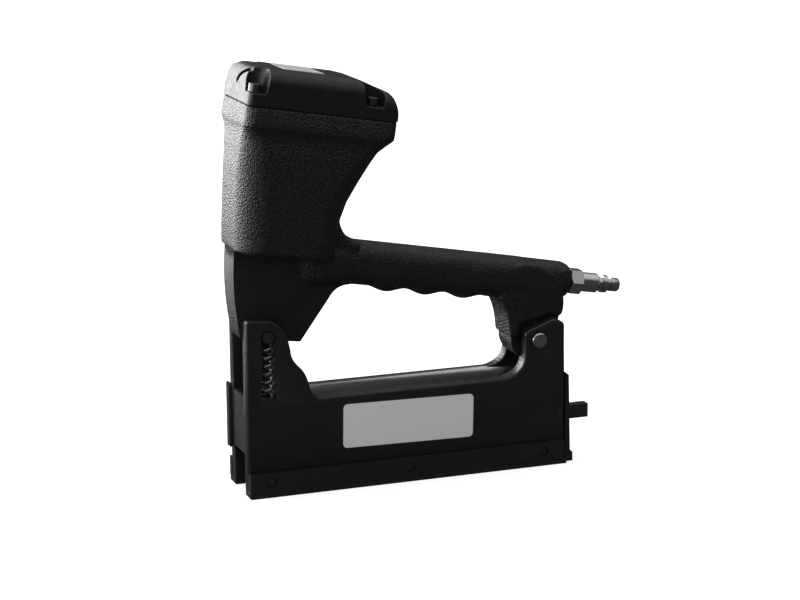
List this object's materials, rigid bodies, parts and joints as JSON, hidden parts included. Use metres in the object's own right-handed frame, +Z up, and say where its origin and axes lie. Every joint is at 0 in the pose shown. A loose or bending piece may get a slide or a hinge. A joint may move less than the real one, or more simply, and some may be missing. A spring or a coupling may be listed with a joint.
{
  "type": "pneumatic clip tool",
  "caption": "Hand held pneumatic clip tool: a cylinder head with a grip, hinged at the rear of a clip magazine on return springs, with an air plug and a clip feed rail.",
  "frame": {"origin": "middle of the underside of the whole tool, on the surface that it stands on", "axes": "+X towards the air plug, +Z up, +Y to the tool's right seen from behind"},
  "size_m": [0.2446, 0.0576, 0.2484],
  "materials": {
    "black_paint": "satin black paint",
    "oxide_steel": "black oxide",
    "crinkle_casting": "black crinkle paint",
    "cover": "fine grained black",
    "label_grey": "satin grey film",
    "zinc": "bright zinc plate",
    "spring_steel": "drawn wire",
    "bright_steel": "ground",
    "rubber": "moulded",
    "brass": "turned",
    "alloy": "turned"
  },
  "bodies": {
    "magazine": {"magazine_body": "black_paint", "nose_block": "oxide_steel", "nose_plate": "oxide_steel", "rail_left": "black_paint", "rail_right": "black_paint", "rail_screw_left_1": "black_paint", "rail_screw_left_2": "black_paint", "rail_screw_left_3": "black_paint", "rail_screw_right_1": "black_paint", "rail_screw_right_2": "black_paint", "rail_screw_right_3": "black_paint", "rear_end_plate": "black_paint", "label_plate": "label_grey", "pivot_pin": "zinc", "pivot_ring": "bright_steel", "return_spring_left": "spring_steel", "return_spring_right": "spring_steel"},
    "head": {"head_casting": "crinkle_casting", "head_cap": "cover", "cap_gasket": "rubber", "cap_screw_1": "zinc", "cap_screw_2": "zinc", "cap_screw_3": "zinc", "cap_screw_4": "zinc", "cap_label": "label_grey", "cylinder_sleeve": "alloy", "bumper": "rubber", "spring_lug_left": "oxide_steel", "spring_lug_right": "oxide_steel", "pivot_bushing_left": "brass", "pivot_bushing_right": "brass", "trip_valve_spring": "spring_steel", "head_valve_spring": "spring_steel", "air_plug": "zinc"},
    "driver": {"piston": "alloy", "piston_ring": "rubber", "driver_blade": "bright_steel"},
    "main_valve": {"head_valve": "brass"},
    "trip_valve": {"trip_valve_spool": "brass"},
    "feed": {"feed_rail": "oxide_steel", "clip_stick": "bright_steel", "follower_spring": "spring_steel"},
    "follower": {"clip_follower": "oxide_steel"},
    "latch": {"rail_latch": "oxide_steel"}
  },
  "joints": [
    {"name": "head_press", "type": "hinge", "parent": "magazine", "child": "head", "pos_m": [0.06232, 0, 0.0773], "axis": [0, -1, 0], "range_deg": [0, 7], "stiffness_Nm_per_rad": 30, "springref_deg": -9.17, "deforming": ["return_spring_left", "return_spring_right"]},
    {"name": "driver_stroke", "type": "slide", "parent": "head", "child": "driver", "axis": [-0.1668, 0, -0.986], "range_m": [0, 0.046]},
    {"name": "main_valve_lift", "type": "slide", "parent": "head", "child": "main_valve", "axis": [0.1668, 0, 0.986], "range_m": [0, 0.003], "stiffness_N_per_m": 2000, "springref_m": -0.002, "deforming": ["head_valve_spring"]},
    {"name": "trip_valve_lift", "type": "slide", "parent": "head", "child": "trip_valve", "axis": [0.1668, 0, 0.986], "range_m": [0, 0.0025], "deforming": ["trip_valve_spring"]},
    {"name": "feed_pull", "type": "slide", "parent": "magazine", "child": "feed", "axis": [1, 0, 0], "range_m": [0, 0.15]},
    {"name": "follower_pull", "type": "slide", "parent": "feed", "child": "follower", "axis": [1, 0, 0], "range_m": [0, 0.045], "stiffness_N_per_m": 150, "springref_m": -0.05, "deforming": ["follower_spring"]},
    {"name": "latch_press", "type": "slide", "parent": "magazine", "child": "latch", "axis": [0, 1, 0], "range_m": [0, 0.002], "stiffness_N_per_m": 800, "springref_m": -0.001}
  ],
  "couplings": [
    {"joint": "trip_valve_lift", "follows": "head_press", "m_per_rad": 0.02038}
  ]
}
